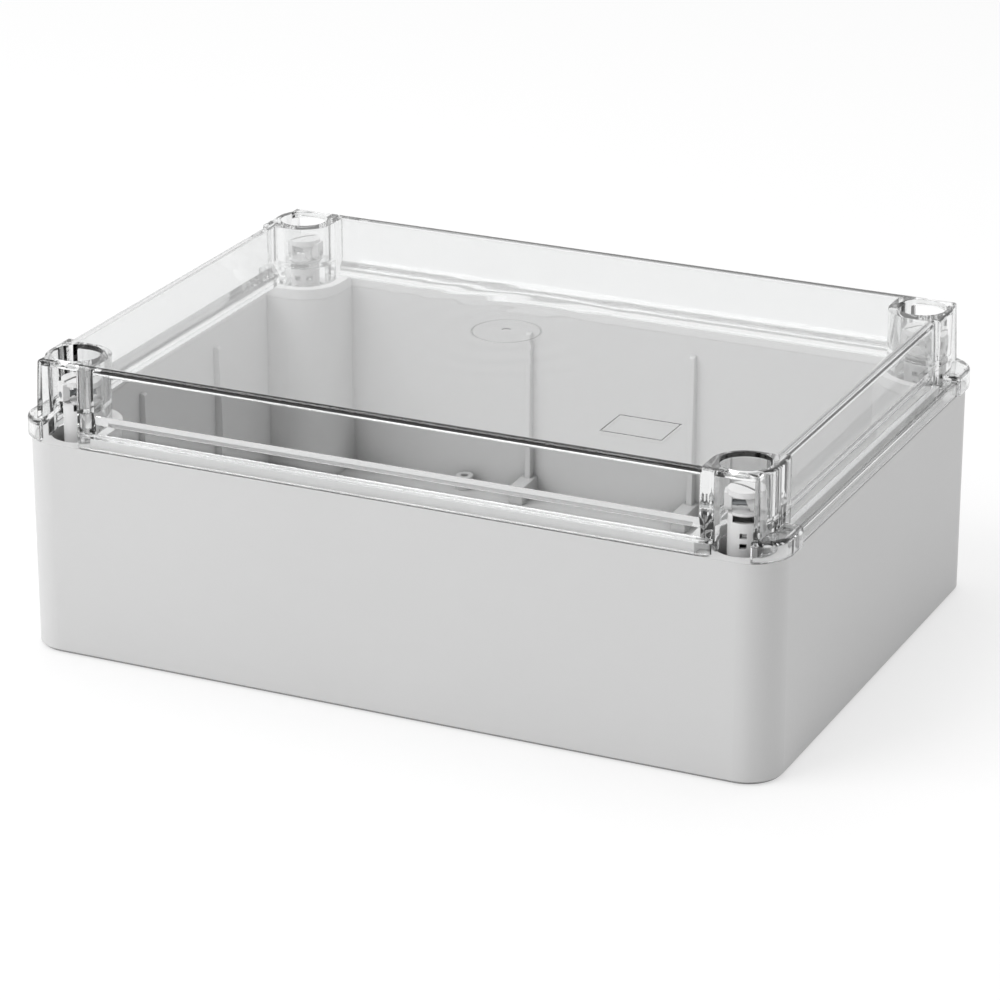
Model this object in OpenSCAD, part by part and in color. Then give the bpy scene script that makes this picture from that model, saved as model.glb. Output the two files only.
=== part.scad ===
// Deep adaptable enclosure with a clear polycarbonate lid held by four quarter-turn
// hinge screws. Origin: middle of the underside of the base. Z up, long side along X.

/* [Base] */
// outside length of the base along X, mm
body_w = 316; // [280:1:400]
// outside depth of the base along Y, mm
body_d = 223.3; // [200:0.1:300]
// height of the base up to its flat rim, mm
base_h = 88; // [75:1:140]
// floor thickness, mm
floor_t = 3.2; // [2:0.1:6]
// wall thickness of the long sides, mm
wall_y = 6.3; // [4:0.1:8]
// wall thickness of the short sides, mm
wall_x = 9; // [5:0.1:11]
// radius of the vertical outside corners, mm
corner_r = 14.5; // [12:0.5:18]

/* [Lid] */
// thickness of the lid top, mm
top_t = 2.8; // [2:0.1:4]
// thickness of the lid walls, mm
lid_t = 2.5; // [2:0.1:4]
// radius along the top edges of the lid, mm
lid_edge = 1.5; // [1:0.1:1.8]
// how far each corner collar stands out past the short side, mm
collar_out = 1.6; // [1:0.1:5]

/* [Hinge screws] */
// turn of the front right, front left, rear right and rear left screw, degrees
screw_turn = [17, 52, 0, 0]; // [-90:1:90]
// driver slot angle in the same four heads, degrees
slot_turn = [-22, 69, 40, 56]; // [-90:1:90]

/* [Fixings] */
// radius of the wall fixing holes, mm
fix_r = 2.7; // [2:0.1:3.5]
// distance from the middle to the plate bosses along X, mm
boss_x = 66; // [50:1:110]
// height of the plate bosses, mm
boss_h = 8.7; // [8:0.1:30]
// height of the rib feet, mm
pad_h = 11; // [8:0.5:30]
// distance from the middle to the long side ribs along X, mm
rib_x = 37.5; // [20:0.5:55]
// distance from the middle to the short side ribs along Y, mm
rib_y = 31; // [15:0.5:60]

/* [View] */
// which node to build

/* [Hidden] */
$fn = 64;
reach = 60;
grey = [0.80, 0.80, 0.80];
clear = [0.90, 0.94, 0.96, 0.35];
seal_grey = [0.86, 0.86, 0.86];
steel = [0.35, 0.36, 0.38];

// where the screw axes stand and how high the hinge pins lie
screw_x = body_w / 2 - 18.4;
screw_y = body_d / 2 - 16.45;
pin_z = base_h + 17;

// base
foot_edge = 1.2;
in_x = body_w / 2 - wall_x;
in_y = body_d / 2 - wall_y;
pillar_r = 17.4;
well_r = 11.4;
well_z = base_h - 28;
guide_r = 7.6;
guide_z = base_h - 42;
pass_r = 4.6;
rib_w = 2.4;
rib_top = base_h - 8;
rib_out_top = 2.4;
rib_out_foot = 4.2;
pad_w = 6.2;
pad_l = 14.3;
boss_r = 3.7;
boss_hole_r = 1.7;
boss_y = body_d / 2 - 12.85;

// lid
lid_z = base_h + 0.5;
flange_z = base_h + 6.1;
channel_z = base_h + 4.65;
total_h = base_h + 33;
skirt_t = 2.3;
lid_top_x = body_w / 2 - 8;
lid_top_y = body_d / 2 - 3.9;
lid_draft = 1;
lid_in_edge = 1;
foot_in = 2.6;
foot_low = base_h + 8.4;
foot_top = base_h + 12.9;
end_r = 3.8;
col_face_x = body_w / 2 - 5.7;
col_face_y = body_d / 2 - 3.8;
col_corner_r = 12.6;
col_in_r = 13.3;
bore_r = 10;
slot_in = 6.9;
slot_out = 8.6;
slot_top = total_h - 2.5;
ledge_r = 7;
ledge_t = 2;
ledge_top = pin_z - 3.2;
tube_t = 2.5;
collar_top = base_h + 8.5;
collar_edge = 1.4;
collar_t = 2.4;
collar_end = body_d / 2 - 24;
mark_x = 91.5;
mark_y = -79.3;
mark_w = 25;
mark_d = 19;
mark_line = 0.5;
mark_deep = 0.15;
gate_r = 1.6;
disc_r = 14;

// gasket
seal_w = 3.9;
seal_z0 = base_h + 0.12;
seal_z1 = channel_z - 0.02;

// hinge screws, heights from the hinge pin
head_r = 6.6;
head_ball_r = 40;
head_top = 6.4;
head_foot = 3.7;
eye_r = 2.9;
gap = 0.3;
bite_top = 4.6;
ear_in = 4.7;
ear_out = 7.5;
ear_top = 4.6;
driver_w = 1.2;
driver_deep = 1.2;
shank_r = 6.3;
shank_in_r = 4.5;
shank_top = -3.3;
flat_y = 4.3;
flat_z = -7.2;
cage_z = -19.5;
body_z = -41;
foot_z = -55;
foot_r = 3.4;
deck_t = 1.2;
band_w = 8.2;
band_z0 = -6.1;
band_z1 = -3.4;
port_w = 2.6;
port_h = 2;
port_z = [-15.9, -11.9];
tongue_x = 4.3;
block_y = 6;
block_top = -2.4;
pin_r = 1.1;
pin_gap = 0.05;
pin_half = 7.9;

// a box standing on z0 whose plan corners have radius r
module round_box(w, d, r, z0, z1) {
  h = z1 - z0;
  translate([-w / 2, -d / 2 + r, z0]) cube([w, d - 2 * r, h]);
  translate([-w / 2 + r, -d / 2, z0]) cube([w - 2 * r, d, h]);
  for (sx = [-1, 1], sy = [-1, 1])
    translate([sx * (w / 2 - r), sy * (d / 2 - r), z0]) cylinder(r = r, h = h);
}

// the top of such a box, narrowing by c on every side over its height
module sloped_box(w, d, r, c, z0, z1) {
  h = z1 - z0;
  cx = w / 2 - r;
  cy = d / 2 - r;
  translate([cx, 0, z0]) rotate([90, 0, -90]) linear_extrude(2 * cx)
    polygon([[-d / 2, 0], [d / 2, 0], [d / 2 - c, h], [-d / 2 + c, h]]);
  translate([0, cy, z0]) rotate([90, 0, 0]) linear_extrude(2 * cy)
    polygon([[-w / 2, 0], [w / 2, 0], [w / 2 - c, h], [-w / 2 + c, h]]);
  for (sx = [-1, 1], sy = [-1, 1])
    translate([sx * cx, sy * cy, z0]) cylinder(r1 = r, r2 = r - c, h = h);
}

// half width w, height h, top corners rounded by e, foot wider by c
module soft_profile(w, h, e, c) {
  difference() {
    polygon([[-w - c, 0], [w + c, 0], [w, h - e], [w, h], [-w, h], [-w, h - e]]);
    for (s = [-1, 1])
      difference() {
        translate([s * w - e, h - e]) square([2 * e, 2 * e]);
        translate([s * (w - e), h - e]) circle(e);
      }
  }
}

// a box with rounded plan corners and rounded top edges
module soft_box(w, d, r, e, z0, z1) {
  h = z1 - z0;
  translate([w / 2 - r, 0, z0]) rotate([90, 0, -90])
    linear_extrude(w - 2 * r) soft_profile(d / 2, h, e, 0);
  translate([0, d / 2 - r, z0]) rotate([90, 0, 0])
    linear_extrude(d - 2 * r) soft_profile(w / 2, h, e, 0);
  for (sx = [-1, 1], sy = [-1, 1])
    translate([sx * (w / 2 - r), sy * (d / 2 - r), z0])
      rotate_extrude()
        intersection() {
          soft_profile(r, h, e, 0);
          square([2 * r, h]);
        }
}

module at_corner(sx, sy) {
  translate([sx * screw_x, sy * screw_y, 0]) children();
}

// solid corner block: round towards the middle, square towards both walls
module corner_block(sx, sy, r, z0, z1) {
  h = z1 - z0;
  at_corner(sx, sy) {
    translate([0, 0, z0]) cylinder(r = r, h = h);
    translate([sx > 0 ? -r : -reach, sy > 0 ? 0 : -reach, z0]) cube([r + reach, reach, h]);
    translate([sx > 0 ? 0 : -reach, sy > 0 ? -r : -reach, z0]) cube([reach, r + reach, h]);
  }
}

// inside space of half size hx, hy that leaves a block of radius r at each screw
module inside_space(hx, hy, r, z0, z1) {
  difference() {
    translate([-hx, -hy, z0]) cube([2 * hx, 2 * hy, z1 - z0]);
    for (sx = [-1, 1], sy = [-1, 1]) corner_block(sx, sy, r, z0 - 1, z1 + 1);
  }
}

// ---------- base ----------
// standing rib with a foot that carries a mounting plate
module wall_rib() {
  top_r = 1.2;
  difference() {
    translate([-rib_w / 2, 0, 0]) rotate([90, 0, 90]) linear_extrude(rib_w)
      polygon([[0.5, floor_t - 1], [0.5, rib_top], [-rib_out_top, rib_top],
        [-rib_out_top, rib_top - 3], [-rib_out_foot, floor_t - 1]]);
    translate([0, -rib_out_top, rib_top]) rotate([0, 90, 0])
      translate([0, 0, -rib_w])
        difference() {
          translate([-top_r, -top_r, 0]) cube([2 * top_r, 2 * top_r, 2 * rib_w]);
          translate([top_r, top_r, -1]) cylinder(r = top_r, h = 3 * rib_w);
        }
  }
  translate([-pad_w / 2, -pad_l, floor_t - 1]) cube([pad_w, pad_l + 0.5, pad_h - floor_t + 1]);
}

module at_ribs() {
  for (sx = [-1, 1], a = [0, 180])
    rotate(a) translate([sx * rib_x, body_d / 2 - wall_y, 0]) children();
  for (sy = [-1, 1], a = [-90, 90])
    rotate(a) translate([sy * rib_y, body_w / 2 - wall_x, 0]) children();
}

module well() {
  translate([0, 0, well_z]) cylinder(r = well_r, h = base_h);
  translate([0, 0, guide_z]) cylinder(r = guide_r, h = base_h);
  translate([0, 0, floor_t + 2]) cylinder(r = pass_r, h = base_h);
  translate([0, 0, -1]) cylinder(r = fix_r, h = base_h);
}

module base_shell() {
  color(grey)
    difference() {
      union() {
        translate([0, 0, foot_edge]) mirror([0, 0, 1])
          sloped_box(body_w, body_d, corner_r, foot_edge, 0, foot_edge);
        round_box(body_w, body_d, corner_r, foot_edge, base_h);
      }
      difference() {
        inside_space(in_x, in_y, pillar_r, floor_t, base_h + 1);
        at_ribs() wall_rib();
        for (sx = [-1, 1], sy = [-1, 1])
          translate([sx * boss_x, sy * boss_y, 0]) cylinder(r = boss_r, h = boss_h);
      }
      for (sx = [-1, 1], sy = [-1, 1]) {
        at_corner(sx, sy) well();
        translate([sx * boss_x, sy * boss_y, floor_t + 1]) cylinder(r = boss_hole_r, h = boss_h);
      }
    }
}

// ---------- gasket ----------
module gasket() {
  color(seal_grey)
    difference() {
      inside_space(in_x + seal_w, in_y + seal_w, pillar_r - seal_w, seal_z0, seal_z1);
      inside_space(in_x, in_y, pillar_r, seal_z0 - 1, seal_z1 + 1);
    }
}

// ---------- lid ----------
// the part of a lid shape that lies at one corner collar
module collar_cut(sx, sy) {
  intersection() {
    children();
    translate([sx > 0 ? screw_x + slot_out : -screw_x - slot_out - reach,
      sy > 0 ? collar_end : -collar_end - reach, 0]) cube([reach, reach, total_h]);
  }
}

module collar_solid(sx, sy) {
  w = body_w + 2 * collar_out;
  collar_cut(sx, sy) soft_box(w, body_d, corner_r, collar_edge, lid_z, collar_top);
}

// hollow under each collar, outside the screw column
module collar_hollow(sx, sy) {
  w = body_w + 2 * collar_out - 2 * collar_t;
  difference() {
    intersection() {
      round_box(w, body_d - 2 * collar_t, corner_r - collar_t, lid_z - 1, collar_top - collar_t);
      translate([sx > 0 ? screw_x : -screw_x - reach,
        sy > 0 ? collar_end + collar_t : -collar_end - collar_t - reach, 0])
        cube([reach, reach, total_h]);
    }
    at_corner(sx, sy) cylinder(r = bore_r + tube_t, h = total_h);
    translate([-col_face_x, -screw_y, 0]) cube([2 * col_face_x, 2 * screw_y, total_h]);
  }
}

// drafted walls and top, outside faces only
module lid_outside() {
  h = total_h - lid_z;
  intersection() {
    translate([-body_w, 0, lid_z]) rotate([90, 0, 90])
      linear_extrude(2 * body_w) soft_profile(lid_top_y, h, lid_edge, lid_draft);
    translate([0, body_d, lid_z]) rotate([90, 0, 0])
      linear_extrude(2 * body_d) soft_profile(lid_top_x, h, lid_edge, lid_draft);
  }
  // square screw columns with a round outer corner
  intersection() {
    soft_box(2 * col_face_x, 2 * col_face_y, col_corner_r, lid_edge, lid_z, total_h);
    for (sx = [-1, 1], sy = [-1, 1]) corner_block(sx, sy, col_in_r, 0, total_h + 1);
  }
  for (sx = [-1, 1], sy = [-1, 1]) collar_solid(sx, sy);
  // flange and skirt
  round_box(body_w, body_d, corner_r, lid_z, flange_z);
}

// half width w of the room above the base: narrower at its foot, rounded at its top
module room_profile(w) {
  foot = w - foot_in;
  polygon([[-foot, channel_z - 1], [foot, channel_z - 1], [foot, foot_low], [w, foot_top],
    [w, foot_top + 1], [-w, foot_top + 1], [-w, foot_top], [-foot, foot_low]]);
  translate([0, foot_top]) soft_profile(w, total_h - top_t - foot_top, lid_in_edge, 0);
}

module lid_room() {
  hx = lid_top_x - lid_t;
  hy = lid_top_y - lid_t;
  intersection() {
    inside_space(hx, hy, col_in_r, channel_z - 1, total_h - top_t);
    translate([-body_w, 0, 0]) rotate([90, 0, 90]) linear_extrude(2 * body_w) room_profile(hy);
    translate([0, body_d, 0]) rotate([90, 0, 0]) linear_extrude(2 * body_d) room_profile(hx);
  }
}

// what is cut off the end of the long skirt to round it in plan
module skirt_end(sx, sy) {
  cx = sx * (screw_x - slot_in - end_r);
  cy = sy * (body_d / 2 - end_r);
  translate([cx, cy, lid_z - 1])
    difference() {
      translate([sx > 0 ? 0 : -end_r - 1, sy > 0 ? 0 : -end_r - 1, 0])
        cube([end_r + 1, end_r + 1, flange_z - lid_z + 2]);
      translate([0, 0, -1]) cylinder(r = end_r, h = reach);
    }
}

// stepped bore with a ledge under the ears, and the slot the shank folds out of
module screw_bore(sx, sy) {
  at_corner(sx, sy) {
    translate([0, 0, lid_z - 1]) cylinder(r = bore_r, h = ledge_top - ledge_t - lid_z + 1);
    translate([0, 0, lid_z - 1]) cylinder(r = ledge_r, h = total_h);
    translate([0, 0, ledge_top]) cylinder(r = bore_r, h = total_h);
    translate([sx > 0 ? -slot_in : -slot_out, sy > 0 ? 0 : -reach, lid_z - 1])
      cube([slot_in + slot_out, reach, slot_top - lid_z + 1]);
  }
}

module lid() {
  color(clear)
    difference() {
      lid_outside();
      lid_room();
      // gasket channel, as wide as the skirt allows
      difference() {
        round_box(body_w - 2 * skirt_t, body_d - 2 * skirt_t, corner_r - skirt_t,
          lid_z - 1, channel_z);
        for (sx = [-1, 1], sy = [-1, 1]) at_corner(sx, sy) cylinder(r = bore_r + tube_t, h = total_h);
      }
      for (sx = [-1, 1], sy = [-1, 1]) {
        collar_hollow(sx, sy);
        screw_bore(sx, sy);
        skirt_end(sx, sy);
      }
      // blank marking field and gate mark
      translate([mark_x, mark_y, total_h - mark_deep])
        difference() {
          translate([-mark_w / 2, -mark_d / 2, 0]) cube([mark_w, mark_d, 1]);
          translate([-mark_w / 2 + mark_line, -mark_d / 2 + mark_line, -1])
            cube([mark_w - 2 * mark_line, mark_d - 2 * mark_line, 3]);
        }
      translate([0, 0, total_h - mark_deep]) cylinder(r = gate_r, h = 1);
      translate([0, 0, total_h - top_t - 1])
        difference() {
          cylinder(r = disc_r, h = 1 + mark_deep);
          translate([0, 0, -1]) cylinder(r = disc_r - mark_line, h = 4);
        }
    }
}

// ---------- hinge screws ----------
module at_pin(sx, sy, turn) {
  translate([sx * screw_x, sy * screw_y, pin_z]) rotate(turn) children();
}

module pin_hole() {
  translate([-reach / 2, 0, 0]) rotate([0, 90, 0]) cylinder(r = pin_r + pin_gap, h = reach);
}

module head(sx, sy, i) {
  color(grey)
    difference() {
      at_pin(sx, sy, screw_turn[i])
        difference() {
          union() {
            intersection() {
              translate([0, 0, head_foot]) cylinder(r = head_r, h = 20);
              translate([0, 0, head_top - head_ball_r]) sphere(r = head_ball_r);
            }
            // two ears that carry the pin
            for (s = [-1, 1]) {
              translate([s > 0 ? ear_in : -ear_out, 0, 0]) rotate([0, 90, 0])
                cylinder(r = eye_r, h = ear_out - ear_in);
              translate([s > 0 ? ear_in : -ear_out, -eye_r, 0])
                cube([ear_out - ear_in, 2 * eye_r, ear_top]);
            }
          }
          // round clearance over the tongue, and the bite the shank folds into
          translate([-ear_in, 0, 0]) rotate([0, 90, 0]) cylinder(r = eye_r + gap, h = 2 * ear_in);
          translate([-ear_in, 0, -reach]) cube([2 * ear_in, reach, reach + eye_r + gap]);
          translate([-reach / 2, eye_r, -reach]) cube([reach, reach, reach + bite_top]);
          pin_hole();
        }
      translate([sx * screw_x, sy * screw_y, pin_z + head_top - driver_deep])
        rotate(slot_turn[i]) translate([-reach / 2, -driver_w / 2, 0]) cube([reach, driver_w, 10]);
    }
}

module shank(sx, sy, i) {
  color(grey)
    at_pin(sx, sy, screw_turn[i])
      difference() {
        union() {
          translate([0, 0, body_z]) cylinder(r = shank_r, h = shank_top - body_z);
          translate([0, 0, foot_z]) cylinder(r1 = foot_r - 0.8, r2 = foot_r, h = 1);
          translate([0, 0, foot_z + 1]) cylinder(r = foot_r, h = body_z - foot_z);
          // tongue round the pin, cut back at a slant on one side
          intersection() {
            union() {
              translate([-tongue_x, 0, 0]) rotate([0, 90, 0]) cylinder(r = eye_r, h = 2 * tongue_x);
              translate([-tongue_x, -eye_r, shank_top - 1]) cube([2 * tongue_x, 2 * eye_r, 1 - shank_top]);
            }
            rotate([90, 0, 0]) translate([0, 0, -reach / 2]) linear_extrude(reach)
              polygon([[2.4, shank_top - 1], [tongue_x, shank_top - 1], [tongue_x, 4],
                [-0.2, 4], [-0.2, 2.8], [2.4, block_top]]);
          }
          // block in front of the pin
          intersection() {
            translate([-tongue_x, 0, 0]) rotate([90, 0, 90]) linear_extrude(2 * tongue_x)
              polygon([[-block_y, shank_top - 1], [0, shank_top - 1], [0, block_top], [-block_y, block_top]]);
            translate([0, 0, shank_top - 2]) cylinder(r = block_y, h = reach);
          }
        }
        // hollow cage with one wide window and two rows of ports
        translate([0, 0, cage_z]) cylinder(r = shank_in_r, h = shank_top - deck_t - cage_z);
        translate([-band_w / 2, -reach, band_z0]) cube([band_w, reach - 2.5, band_z1 - band_z0]);
        for (z = port_z, a = [0, 45])
          rotate(a) translate([-port_w / 2, -reach / 2, z]) cube([port_w, reach, port_h]);
        // flat that clears the head when the shank folds
        translate([-reach / 2, flat_y, flat_z]) cube([reach, reach, reach]);
        pin_hole();
      }
}

module pin(sx, sy, i) {
  color(steel)
    at_pin(sx, sy, screw_turn[i])
      translate([-pin_half, 0, 0]) rotate([0, 90, 0]) cylinder(r = pin_r, h = 2 * pin_half);
}

base_shell();
gasket();
lid();
head(1, -1, 0);  // head_fr
head(-1, -1, 1);  // head_fl
head(1, 1, 2);  // head_rr
head(-1, 1, 3);  // head_rl
shank(1, -1, 0);  // shank_fr
shank(-1, -1, 1);  // shank_fl
shank(1, 1, 2);  // shank_rr
shank(-1, 1, 3);  // shank_rl
pin(1, -1, 0);  // pin_fr
pin(-1, -1, 1);  // pin_fl
pin(1, 1, 2);  // pin_rr
pin(-1, 1, 3);  // pin_rl
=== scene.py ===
import math

import bpy
from mathutils import Matrix, Vector

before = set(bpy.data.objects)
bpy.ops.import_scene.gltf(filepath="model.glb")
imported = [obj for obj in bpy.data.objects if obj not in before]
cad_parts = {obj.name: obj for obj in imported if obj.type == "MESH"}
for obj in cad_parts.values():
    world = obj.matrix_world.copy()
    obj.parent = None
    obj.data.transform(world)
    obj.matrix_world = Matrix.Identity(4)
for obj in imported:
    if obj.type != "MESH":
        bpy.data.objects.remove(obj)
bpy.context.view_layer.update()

WHITE = (1.0, 1.0, 1.0, 1.0)

# ------------------------------------------------------------------ camera
# Fitted to the corners of the box in the photograph. Metres, and millimetres for lens and sensor.
AZIMUTH = math.radians(24.94)
ELEVATION = math.radians(21.50)
DISTANCE = 1.6320
OFFSET_RIGHT = -0.00248
OFFSET_UP = 0.04533
LENS = 144.8
SENSOR_WIDTH = 36.0


def add_camera():
    back = Vector((math.sin(AZIMUTH) * math.cos(ELEVATION),
                   -math.cos(AZIMUTH) * math.cos(ELEVATION),
                   math.sin(ELEVATION)))
    right = Vector((math.cos(AZIMUTH), math.sin(AZIMUTH), 0.0))
    up = back.cross(right)
    data = bpy.data.cameras.new("camera")
    data.lens = LENS
    data.sensor_width = SENSOR_WIDTH
    camera = bpy.data.objects.new("camera", data)
    bpy.context.scene.collection.objects.link(camera)
    place = back * DISTANCE + right * OFFSET_RIGHT + up * OFFSET_UP
    turn = Matrix((right, up, back)).transposed().to_4x4()
    camera.matrix_world = Matrix.Translation(place) @ turn
    bpy.context.scene.camera = camera


add_camera()


# ------------------------------------------------------------ node helpers
def new_material(name):
    material = bpy.data.materials.new(name)
    material.use_nodes = True
    nodes = material.node_tree.nodes
    nodes.clear()
    output = nodes.new("ShaderNodeOutputMaterial")
    return material, nodes, material.node_tree.links, output


def calculated(nodes, links, operation, first, second):
    """One step of arithmetic on a socket and another socket or a plain number."""
    step = nodes.new("ShaderNodeMath")
    step.operation = operation
    links.new(first, step.inputs[0])
    if isinstance(second, float):
        step.inputs[1].default_value = second
    else:
        links.new(second, step.inputs[1])
    return step.outputs["Value"]


def ranged(nodes, links, value, start, end, low, high, curve="LINEAR"):
    """Carry a value between start and end over to low and high, and hold it there beyond them."""
    change = nodes.new("ShaderNodeMapRange")
    change.interpolation_type = curve
    change.inputs["From Min"].default_value = start
    change.inputs["From Max"].default_value = end
    change.inputs["To Min"].default_value = low
    change.inputs["To Max"].default_value = high
    links.new(value, change.inputs["Value"])
    return change.outputs["Result"]


def object_noise(nodes, links, scale, detail):
    """Noise that stays with the piece when it moves."""
    coords = nodes.new("ShaderNodeTexCoord")
    noise = nodes.new("ShaderNodeTexNoise")
    noise.inputs["Scale"].default_value = scale
    noise.inputs["Detail"].default_value = detail
    links.new(coords.outputs["Object"], noise.inputs["Vector"])
    return noise.outputs["Fac"]


def rounded_edges(nodes, radius, samples):
    """Normal that rounds the sharp edges of a piece by this radius."""
    bevel = nodes.new("ShaderNodeBevel")
    bevel.samples = samples
    bevel.inputs["Radius"].default_value = radius
    return bevel.outputs["Normal"]


def bumped(nodes, links, relief, height, strength):
    """Bump node that raises the surface by a relief, by this height where the relief is 1."""
    bump = nodes.new("ShaderNodeBump")
    bump.inputs["Strength"].default_value = strength
    bump.inputs["Distance"].default_value = height
    links.new(relief, bump.inputs["Height"])
    return bump


def is_ray(nodes, links, *kinds):
    """1 where the ray is of one of these kinds, otherwise 0."""
    path = nodes.new("ShaderNodeLightPath")
    found = path.outputs[kinds[0]]
    for kind in kinds[1:]:
        found = calculated(nodes, links, "MAXIMUM", found, path.outputs[kind])
    return found


def mixed(nodes, links, share, first, second):
    """Two shaders in one, with this share of the second."""
    mix = nodes.new("ShaderNodeMixShader")
    links.new(share, mix.inputs["Fac"])
    links.new(first, mix.inputs[1])
    links.new(second, mix.inputs[2])
    return mix.outputs["Shader"]


# --------------------------------------------------------------- materials
GRAIN_DETAIL = 3.0
ROUNDING_SAMPLES = 4

# Painted shade: how the darkening painted into a colour in holes and beside touching pieces grows and
# fades.
SHADE_SAMPLES = 8
SHADE_FULL = 0.05           # openness of a spot at which its shade is deepest
SHADE_NONE = 0.65           # and at which none is left

PLASTIC_IOR = 1.53
PLASTIC_GRAIN_HEIGHT = 0.0002
PLASTIC_GLOSS_SPREAD = 0.04
MOTTLE_SCALE = 14.0
MOTTLE_DETAIL = 2.0
MOTTLE_START = 0.3
MOTTLE_END = 0.7
MOTTLE_SHADE = 0.985

POLYCARBONATE_IOR = 1.58
LID_ROUGHNESS = 0.02
LID_EDGE = 0.0004
LID_ROUNDING_SAMPLES = 6
WAVE_SCALE = 9.0
WAVE_HEIGHT = 0.00005
RING_SCALE = 21.0
RING_DISTORTION = 2.0
RING_DISTORTION_SCALE = 0.4
RING_SHARE = 0.6            # height of the rings beside that of the waves
RING_FADE_START = 0.02      # distance from the gate at which the rings begin to fade
RING_FADE_END = 0.08

METAL_GRAIN = 900.0
METAL_GRAIN_HEIGHT = 0.0001
METAL_GRAIN_STRENGTH = 0.1
METAL_GLOSS_SPREAD = 0.08


def crevice_shade(nodes, links, colour, distance, darkest, own_holes=True):
    """Painted shade: darken a colour in the piece's own deep holes, and painted shadow where another piece
    all but touches it.
    """
    openness = nodes.new("ShaderNodeAmbientOcclusion")
    openness.samples = SHADE_SAMPLES
    openness.only_local = own_holes
    openness.inputs["Distance"].default_value = distance
    light = ranged(nodes, links, openness.outputs["AO"], SHADE_FULL, SHADE_NONE, darkest, 1.0, "SMOOTHSTEP")
    shaded = nodes.new("ShaderNodeVectorMath")
    shaded.operation = "SCALE"
    links.new(colour, shaded.inputs[0])
    links.new(light, shaded.inputs["Scale"])
    return shaded.outputs["Vector"]


def mottled(nodes, links, colour):
    """A colour with faint duller patches."""
    ramp = nodes.new("ShaderNodeValToRGB")
    dull, full = ramp.color_ramp.elements
    dull.position = MOTTLE_START
    dull.color = [channel * MOTTLE_SHADE for channel in colour] + [1.0]
    full.position = MOTTLE_END
    full.color = [*colour, 1.0]
    links.new(object_noise(nodes, links, MOTTLE_SCALE, MOTTLE_DETAIL), ramp.inputs["Fac"])
    return ramp.outputs["Color"]


def plastic(name, colour, roughness, grain, strength, edge, reach, darkest, contact=0.0):
    """Moulded opaque plastic with a fine satin grain and slight mottling.

    Its own holes get painted shade as far as reach, and the strip beside another piece gets painted shadow
    as far as contact.
    """
    material, nodes, links, output = new_material(name)
    shader = nodes.new("ShaderNodeBsdfPrincipled")
    shader.inputs["IOR"].default_value = PLASTIC_IOR
    relief = object_noise(nodes, links, grain, GRAIN_DETAIL)
    bump = bumped(nodes, links, relief, PLASTIC_GRAIN_HEIGHT, strength)
    links.new(rounded_edges(nodes, edge, ROUNDING_SAMPLES), bump.inputs["Normal"])
    gloss = ranged(nodes, links, relief, 0.0, 1.0,
                   roughness - PLASTIC_GLOSS_SPREAD, roughness + PLASTIC_GLOSS_SPREAD)
    shaded = crevice_shade(nodes, links, mottled(nodes, links, colour), reach, darkest)
    if contact > 0.0:
        shaded = crevice_shade(nodes, links, shaded, contact, darkest, own_holes=False)
    links.new(shaded, shader.inputs["Base Color"])
    links.new(gloss, shader.inputs["Roughness"])
    links.new(bump.outputs["Normal"], shader.inputs["Normal"])
    links.new(shader.outputs["BSDF"], output.inputs["Surface"])
    return material


def flow_rings(nodes, links):
    """Rings round the lid's gate, which is over the frame's origin, fading outward."""
    coords = nodes.new("ShaderNodeTexCoord")
    rings = nodes.new("ShaderNodeTexWave")
    rings.wave_type = "RINGS"
    rings.rings_direction = "Z"
    rings.inputs["Scale"].default_value = RING_SCALE
    rings.inputs["Distortion"].default_value = RING_DISTORTION
    rings.inputs["Detail"].default_value = 1.0
    rings.inputs["Detail Scale"].default_value = RING_DISTORTION_SCALE
    flat = nodes.new("ShaderNodeVectorMath")
    flat.operation = "MULTIPLY"
    flat.inputs[1].default_value = (1.0, 1.0, 0.0)
    distance = nodes.new("ShaderNodeVectorMath")
    distance.operation = "LENGTH"
    links.new(coords.outputs["Object"], rings.inputs["Vector"])
    links.new(coords.outputs["Object"], flat.inputs[0])
    links.new(flat.outputs["Vector"], distance.inputs[0])
    fade = ranged(nodes, links, distance.outputs["Value"], RING_FADE_START, RING_FADE_END, 1.0, 0.0)
    return calculated(nodes, links, "MULTIPLY", rings.outputs["Fac"], fade)


def moulded_waves(nodes, links):
    """Long soft waves of a moulded sheet, with faint flow rings round the gate in its middle."""
    waves = object_noise(nodes, links, WAVE_SCALE, 1.0)
    rings = calculated(nodes, links, "MULTIPLY", flow_rings(nodes, links), RING_SHARE)
    relief = calculated(nodes, links, "ADD", rings, waves)
    bump = bumped(nodes, links, relief, WAVE_HEIGHT, 1.0)
    links.new(rounded_edges(nodes, LID_EDGE, LID_ROUNDING_SAMPLES), bump.inputs["Normal"])
    return bump.outputs["Normal"]


def clear_plastic(name, tint, shade):
    """Polished clear polycarbonate: refracts, but lets plain light through to what lies inside."""
    material, nodes, links, output = new_material(name)
    shader = nodes.new("ShaderNodeBsdfPrincipled")
    shader.inputs["Base Color"].default_value = (*tint, 1.0)
    shader.inputs["Roughness"].default_value = LID_ROUGHNESS
    shader.inputs["IOR"].default_value = POLYCARBONATE_IOR
    shader.inputs["Transmission Weight"].default_value = 1.0
    links.new(moulded_waves(nodes, links), shader.inputs["Normal"])
    through = nodes.new("ShaderNodeBsdfTransparent")
    through.inputs["Color"].default_value = (*shade, 1.0)
    plain = is_ray(nodes, links, "Is Shadow Ray", "Is Diffuse Ray")
    surface = mixed(nodes, links, plain, shader.outputs["BSDF"], through.outputs["BSDF"])
    links.new(surface, output.inputs["Surface"])
    return material


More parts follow.
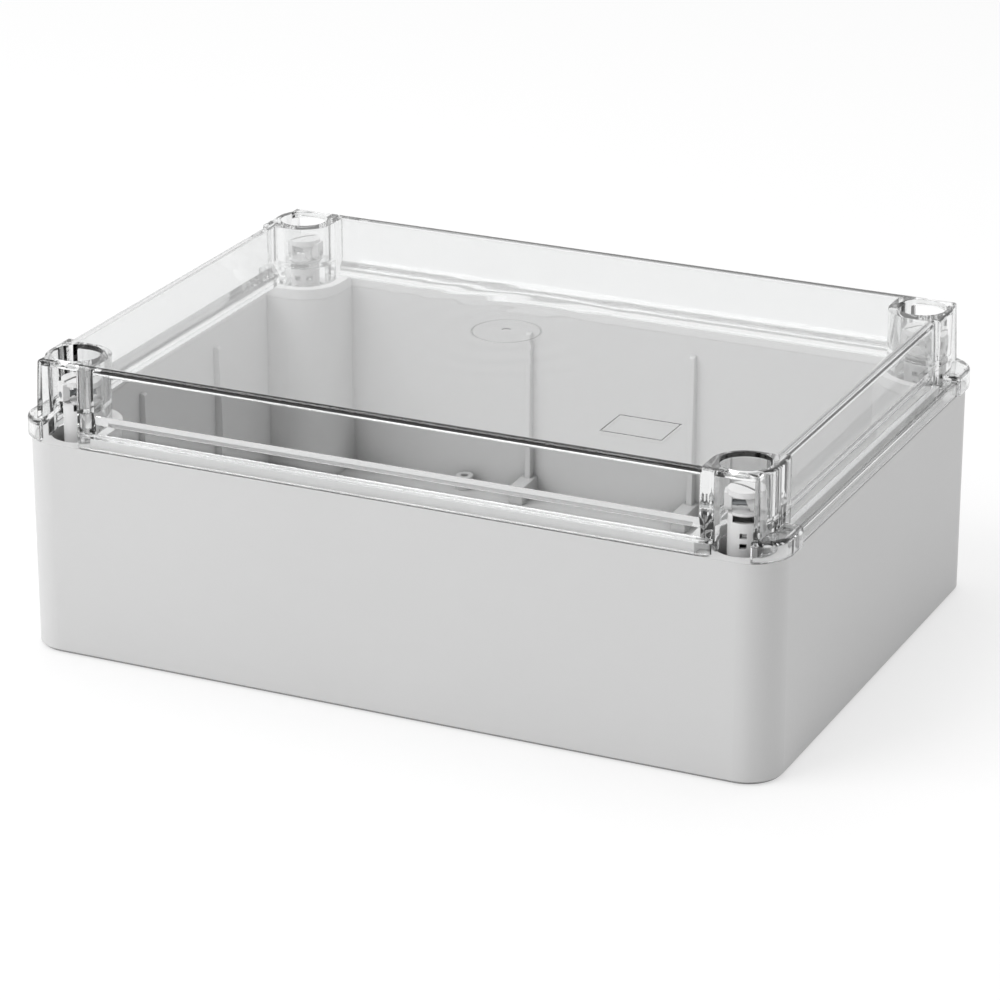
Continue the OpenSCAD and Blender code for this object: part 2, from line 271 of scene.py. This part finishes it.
def metal(name, colour, roughness):
    """Plain metal with a fine grain."""
    material, nodes, links, output = new_material(name)
    shader = nodes.new("ShaderNodeBsdfPrincipled")
    shader.inputs["Base Color"].default_value = (*colour, 1.0)
    shader.inputs["Metallic"].default_value = 1.0
    relief = object_noise(nodes, links, METAL_GRAIN, GRAIN_DETAIL)
    bump = bumped(nodes, links, relief, METAL_GRAIN_HEIGHT, METAL_GRAIN_STRENGTH)
    gloss = ranged(nodes, links, relief, 0.0, 1.0,
                   roughness - METAL_GLOSS_SPREAD, roughness + METAL_GLOSS_SPREAD)
    links.new(gloss, shader.inputs["Roughness"])
    links.new(bump.outputs["Normal"], shader.inputs["Normal"])
    links.new(shader.outputs["BSDF"], output.inputs["Surface"])
    return material


# reach and darkest paint shade into the colour of each piece's deep holes and the screws' hollows; contact
# paints shadow on the base's rim where the lid's foot sits over it.
grey_plastic = plastic("grey_plastic", colour=(0.60, 0.60, 0.60), roughness=0.38, grain=700.0,
                       strength=0.20, edge=0.0005, reach=0.030, darkest=0.06, contact=0.004)
screw_plastic = plastic("screw_plastic", colour=(0.70, 0.70, 0.70), roughness=0.30, grain=500.0,
                        strength=0.10, edge=0.0003, reach=0.009, darkest=0.05)
seal_rubber = plastic("seal_rubber", colour=(0.70, 0.70, 0.70), roughness=0.75, grain=400.0,
                      strength=0.30, edge=0.0004, reach=0.003, darkest=0.50)
clear_lid = clear_plastic("clear_lid", tint=(0.885, 0.89, 0.89), shade=(0.98, 0.98, 0.98))
pin_steel = metal("pin_steel", colour=(0.30, 0.31, 0.32), roughness=0.35)

FINISH = {"base_shell": grey_plastic, "gasket": seal_rubber, "lid": clear_lid}
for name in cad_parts:
    if name.startswith(("head_", "shank_")):
        FINISH[name] = screw_plastic
    if name.startswith("pin_"):
        FINISH[name] = pin_steel

for name, material in FINISH.items():
    piece = bpy.data.objects[name]
    for slot in piece.material_slots:
        slot.material = material


# ------------------------------------------------------------- stage, light
FLOOR_REACH = 6.0
FLOOR_GAP = 0.0003          # keeps the floor off the base's underside, or the two show as streaks
FLOOR_COLOUR = (0.90, 0.90, 0.90, 1.0)
FLOOR_WHITE = 0.60          # share of plain white in what camera, gloss and clear plastic see of it

LAMP_AIM = (0.0, 0.0, 0.05)

# Light of the room, and how much more or less of it comes from two directions. The change sets in
# where the cosine of the angle to the direction is at start, and is complete where it is at full.
ROOM_LEVEL = 0.76
BACK_GLOW = {"direction": (-0.39, 0.84, 0.37), "start": 0.55, "full": 0.97, "amount": 0.40}
SIDE_DARK = {"direction": (0.75, -0.66, 0.0), "start": 0.05, "full": 0.90, "amount": -0.45}


def floor_finish():
    """Matt pale floor that takes the object's shadow and is otherwise lifted towards plain white."""
    material, nodes, links, output = new_material("floor")
    matt = nodes.new("ShaderNodeBsdfDiffuse")
    matt.inputs["Color"].default_value = FLOOR_COLOUR
    white = nodes.new("ShaderNodeEmission")
    white.inputs["Color"].default_value = WHITE
    white.inputs["Strength"].default_value = 1.0
    seen = is_ray(nodes, links, "Is Camera Ray", "Is Glossy Ray", "Is Transmission Ray")
    share = calculated(nodes, links, "MULTIPLY", seen, FLOOR_WHITE)
    surface = mixed(nodes, links, share, matt.outputs["BSDF"], white.outputs["Emission"])
    links.new(surface, output.inputs["Surface"])
    return material


def add_floor():
    corners = [(-FLOOR_REACH, -FLOOR_REACH, -FLOOR_GAP),
               (FLOOR_REACH, -FLOOR_REACH, -FLOOR_GAP),
               (FLOOR_REACH, FLOOR_REACH, -FLOOR_GAP),
               (-FLOOR_REACH, FLOOR_REACH, -FLOOR_GAP)]
    mesh = bpy.data.meshes.new("floor")
    mesh.from_pydata(corners, [], [(0, 1, 2, 3)])
    mesh.materials.append(floor_finish())
    floor = bpy.data.objects.new("floor", mesh)
    bpy.context.scene.collection.objects.link(floor)


def area_light(name, place, size_x, size_y, power):
    data = bpy.data.lights.new(name, "AREA")
    data.shape = "RECTANGLE"
    data.size = size_x
    data.size_y = size_y
    data.energy = power
    light = bpy.data.objects.new(name, data)
    bpy.context.scene.collection.objects.link(light)
    light.location = place
    light.rotation_euler = (Vector(LAMP_AIM) - Vector(place)).to_track_quat("-Z", "Y").to_euler()


def add_world():
    """Bright studio: brightest behind the object, dimmest to the right of the camera."""
    world = bpy.data.worlds.new("world")
    bpy.context.scene.world = world
    world.use_nodes = True
    nodes = world.node_tree.nodes
    links = world.node_tree.links
    nodes.clear()
    output = nodes.new("ShaderNodeOutputWorld")
    background = nodes.new("ShaderNodeBackground")
    background.inputs["Color"].default_value = WHITE
    coords = nodes.new("ShaderNodeTexCoord")
    strength = ROOM_LEVEL
    for region in (BACK_GLOW, SIDE_DARK):
        toward = nodes.new("ShaderNodeVectorMath")
        toward.operation = "DOT_PRODUCT"
        toward.inputs[1].default_value = region["direction"]
        links.new(coords.outputs["Generated"], toward.inputs[0])
        change = ranged(nodes, links, toward.outputs["Value"], region["start"], region["full"],
                        0.0, region["amount"], "SMOOTHSTEP")
        strength = calculated(nodes, links, "ADD", change, strength)
    links.new(strength, background.inputs["Strength"])
    links.new(background.outputs["Background"], output.inputs["Surface"])


add_floor()
area_light("key", place=(-1.0, -1.2, 1.6), size_x=1.4, size_y=1.4, power=26.0)
area_light("top", place=(0.0, 0.4, 1.9), size_x=1.8, size_y=1.2, power=7.0)
add_world()
bpy.context.scene.view_settings.view_transform = "Standard"
